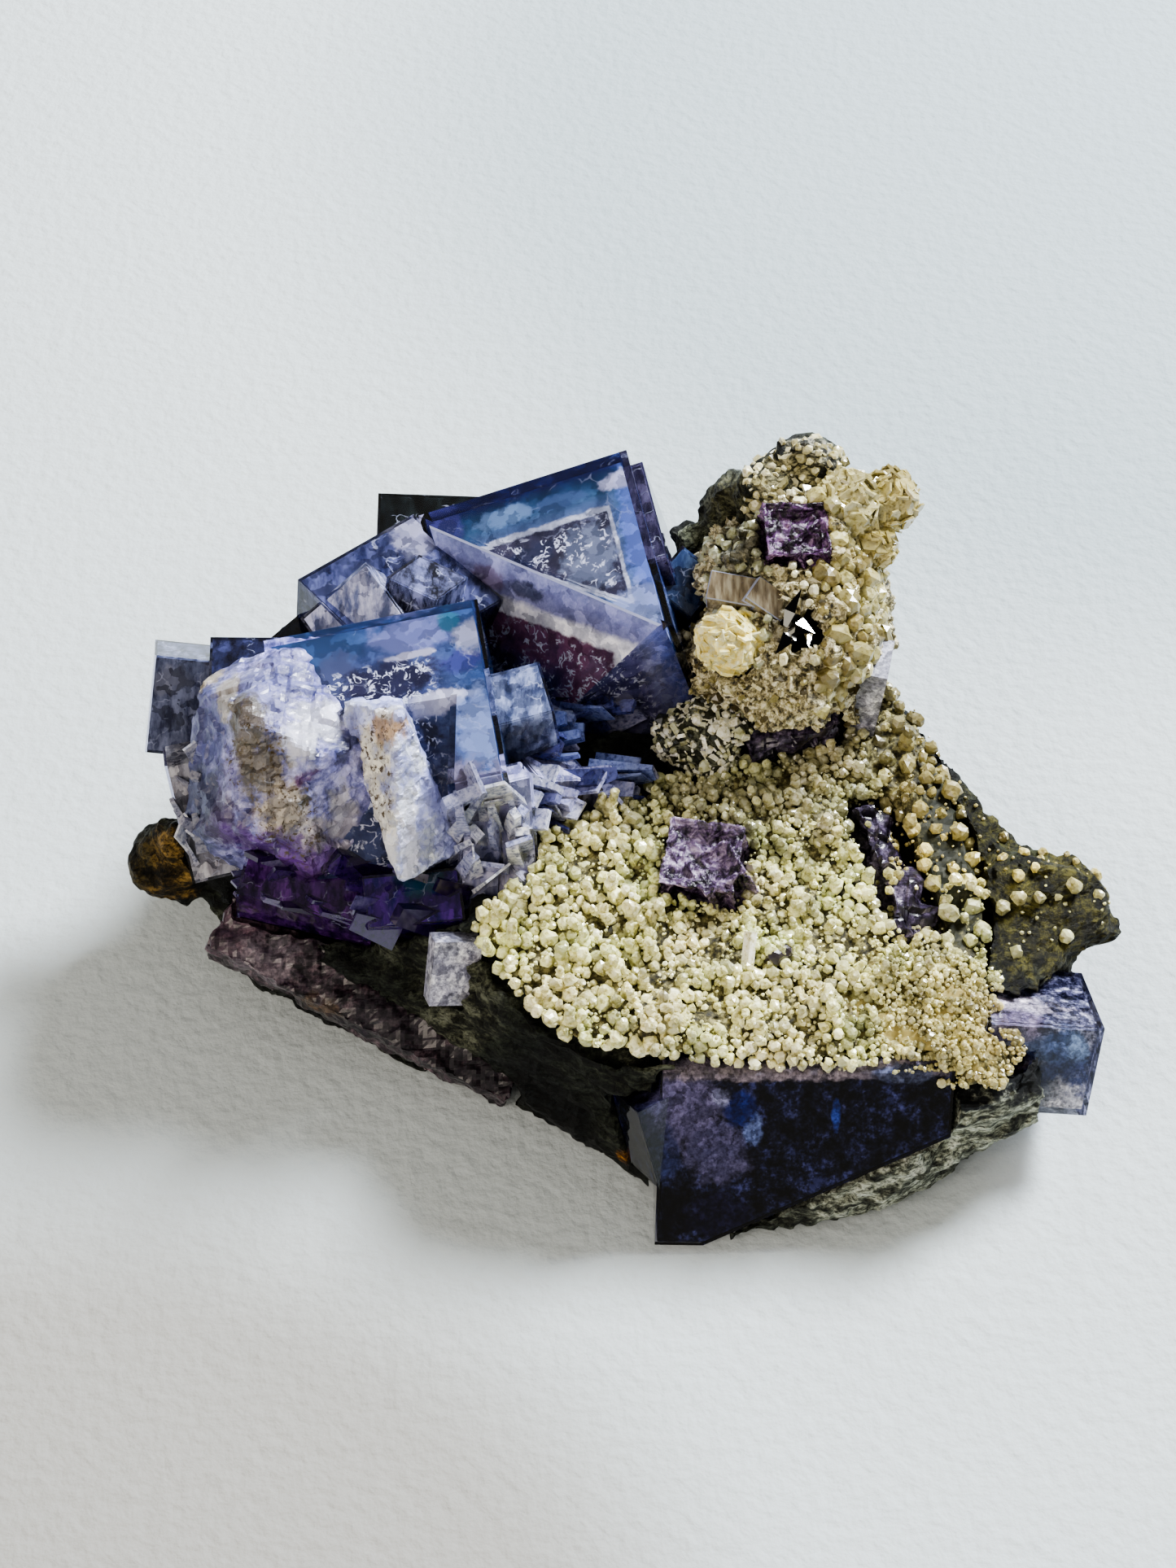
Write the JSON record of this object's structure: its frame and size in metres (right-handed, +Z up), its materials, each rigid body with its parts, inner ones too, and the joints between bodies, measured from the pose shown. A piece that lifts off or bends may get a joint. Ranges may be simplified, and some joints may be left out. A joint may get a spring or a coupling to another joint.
{
  "type": "phantom fluorite specimen",
  "caption": "Blue and violet phantom fluorite cubes grown on a dark green rock slab with a pale crust of mica balls; rests on its flat underside.",
  "frame": {"origin": "on the flat resting face, below the middle of the specimen", "axes": "+Z up from the resting face, +X to the right and +Y away from the viewer when the big cubes stand at the left and the navy block faces the viewer"},
  "size_m": [0.0799, 0.0595, 0.0348],
  "materials": {
    "rock": "rough, dark green to black",
    "blue_fluorite": "clear, glassy",
    "navy_fluorite": "clear, glassy, nearly black",
    "violet_fluorite": "etched, glassy",
    "pale_fluorite": "frosted",
    "mauve_fluorite": "broken, glassy",
    "mica": "pearly balls",
    "mica_rosette": "pearly plates",
    "clear_crystal": "clear, glassy",
    "metallic_crystal": "bright metallic lustre"
  },
  "bodies": {
    "root": {"matrix_rock": "rock", "fluorite_cluster": "blue_fluorite", "front_fluorite": "navy_fluorite", "mauve_layer": "mauve_fluorite", "mica_crust": "mica", "knob_mica_crust": "mica", "right_fluorite": "navy_fluorite", "druse_fluorite": "violet_fluorite", "knob_fluorite": "violet_fluorite", "ledge_fluorite": "violet_fluorite", "upright_fluorite": "pale_fluorite", "furrow_fluorite": "violet_fluorite", "lilac_chip": "pale_fluorite", "clear_prisms": "clear_crystal", "metal_crystal": "metallic_crystal", "mica_rosette": "mica_rosette", "mica_rosette_pair": "mica_rosette"}
  },
  "joints": []
}
